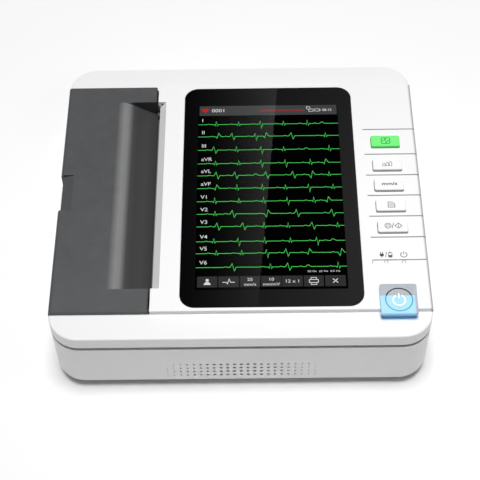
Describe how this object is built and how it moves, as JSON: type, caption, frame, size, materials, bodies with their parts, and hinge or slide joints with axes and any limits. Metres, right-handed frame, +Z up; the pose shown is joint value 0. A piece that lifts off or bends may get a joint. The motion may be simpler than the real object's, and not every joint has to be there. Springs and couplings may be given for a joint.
{
  "type": "ecg machine",
  "caption": "Desktop electrocardiograph with a raised deck, flush portrait touch screen, function keys, lit power key and a full-width thermal printer under a sliding paper door.",
  "frame": {"origin": "centre of the footprint on the table under the feet", "axes": "+X to the operator's right, +Y to the rear, +Z up"},
  "size_m": [0.337, 0.318, 0.091],
  "materials": {
    "case_white": "fine satin moulded white",
    "gasket_grey": "soft matt",
    "door_grey": "fine moulded texture, dark grey",
    "steel": "plain turned or rolled",
    "zinc_sheet": "zinc-plated sheet",
    "aluminium": "extruded",
    "bronze": "sintered bush",
    "platen_rubber": "ground rubber",
    "gear_plastic": "natural acetal",
    "motor_black": "satin black",
    "ceramic_head": "glazed print element",
    "spring_steel": "bright spring strip",
    "bin_grey": "fine moulded texture",
    "spindle_grey": "moulded",
    "chart_paper": "thermal chart paper",
    "cover_glass": "polished",
    "mask_black": "printed border",
    "lcd_dark": "polariser film",
    "flex_cable": "flat flexible cable",
    "key_green": "bright translucent green",
    "key_white": "satin white",
    "silicone": "silicone keypad",
    "board_green": "solder mask",
    "power_blue": "lit translucent",
    "ring_blue": "lit ring",
    "light_clear": "clear light guide",
    "speaker_black": "moulded frame",
    "battery_blue": "shrink sleeve",
    "panel_steel": "powder coat",
    "socket_black": "moulded",
    "stud_brass": "turned",
    "foot_rubber": "moulded rubber"
  },
  "bodies": {
    "case": {"lower_case": "case_white", "base_plate": "case_white", "seam_gasket": "gasket_grey", "upper_case": "case_white", "deck_cover": "case_white", "standoffs": "steel", "guide_rails": "zinc_sheet", "door_detents": "spring_steel", "idler_pin": "steel", "stepper_motor": "motor_black", "printer_chassis": "zinc_sheet", "head_heatsink": "aluminium", "thermal_head": "ceramic_head", "head_springs": "spring_steel", "tear_bar": "steel", "paper_bin": "bin_grey", "rail_brackets": "bin_grey", "paper_web": "chart_paper", "screen_glass": "cover_glass", "screen_mask": "mask_black", "lcd_panel": "lcd_dark", "lcd_bracket": "zinc_sheet", "display_cable": "flex_cable", "keypad_mat": "silicone", "key_board": "board_green", "power_light_guide": "light_clear", "indicator_windows": "light_clear", "speaker": "speaker_black", "main_board": "board_green", "ecg_module": "zinc_sheet", "power_supply": "board_green", "battery_pack": "battery_blue", "battery_hatch": "case_white", "hatch_screw": "steel", "rear_panel": "panel_steel", "mains_inlet": "socket_black", "fuse_holders": "socket_black", "earth_stud": "stud_brass", "patient_socket": "steel", "data_ports": "steel", "rubber_feet": "foot_rubber", "case_screws": "steel"},
    "door": {"printer_door": "door_grey", "door_runners": "steel", "platen_bushes": "bronze"},
    "platen": {"platen_shaft": "steel", "platen_sleeve": "platen_rubber", "platen_gear": "gear_plastic"},
    "idler": {"idler_gear": "gear_plastic"},
    "motor_rotor": {"motor_pinion": "stud_brass"},
    "roll": {"roll_spindle": "spindle_grey", "paper_roll": "chart_paper"},
    "ecg_key": {"key_ecg": "key_green"},
    "gain_key": {"key_gain": "key_white"},
    "speed_key": {"key_speed": "key_white"},
    "page_key": {"key_page": "key_white"},
    "start_key": {"key_start": "key_white"},
    "power_key": {"power_cap": "power_blue", "power_ring": "ring_blue"}
  },
  "joints": [
    {"name": "door_slide", "type": "slide", "parent": "case", "child": "door", "axis": [-1, 0, 0], "range_m": [0, 0.066]},
    {"name": "roll_spin", "type": "hinge", "parent": "case", "child": "roll", "pos_m": [-0.1272, 0, 0.029], "axis": [0, -1, 0], "continuous": true},
    {"name": "platen_spin", "type": "hinge", "parent": "door", "child": "platen", "pos_m": [-0.0892, 0, 0.059], "axis": [0, -1, 0], "continuous": true},
    {"name": "idler_spin", "type": "hinge", "parent": "case", "child": "idler", "pos_m": [-0.0692, 0, 0.059], "axis": [0, -1, 0], "continuous": true},
    {"name": "motor_spin", "type": "hinge", "parent": "case", "child": "motor_rotor", "pos_m": [-0.0612, 0, 0.04514], "axis": [0, -1, 0], "continuous": true},
    {"name": "ecg_key_press", "type": "slide", "parent": "case", "child": "ecg_key", "axis": [0, 0, -1], "range_m": [0, 0.0008], "stiffness_N_per_m": 900, "springref_m": -0.0006},
    {"name": "gain_key_press", "type": "slide", "parent": "case", "child": "gain_key", "axis": [0, 0, -1], "range_m": [0, 0.0008], "stiffness_N_per_m": 900, "springref_m": -0.0006},
    {"name": "speed_key_press", "type": "slide", "parent": "case", "child": "speed_key", "axis": [0, 0, -1], "range_m": [0, 0.0008], "stiffness_N_per_m": 900, "springref_m": -0.0006},
    {"name": "page_key_press", "type": "slide", "parent": "case", "child": "page_key", "axis": [0, 0, -1], "range_m": [0, 0.0008], "stiffness_N_per_m": 900, "springref_m": -0.0006},
    {"name": "start_key_press", "type": "slide", "parent": "case", "child": "start_key", "axis": [0, 0, -1], "range_m": [0, 0.0008], "stiffness_N_per_m": 900, "springref_m": -0.0006},
    {"name": "power_key_press", "type": "slide", "parent": "case", "child": "power_key", "axis": [0, 0, -1], "range_m": [0, 0.0008], "stiffness_N_per_m": 900, "springref_m": -0.0006}
  ],
  "couplings": [
    {"joint": "platen_spin", "follows": "roll_spin", "ratio": 2.5},
    {"joint": "idler_spin", "follows": "roll_spin", "ratio": -1.9643},
    {"joint": "motor_spin", "follows": "roll_spin", "ratio": 4.5833}
  ]
}
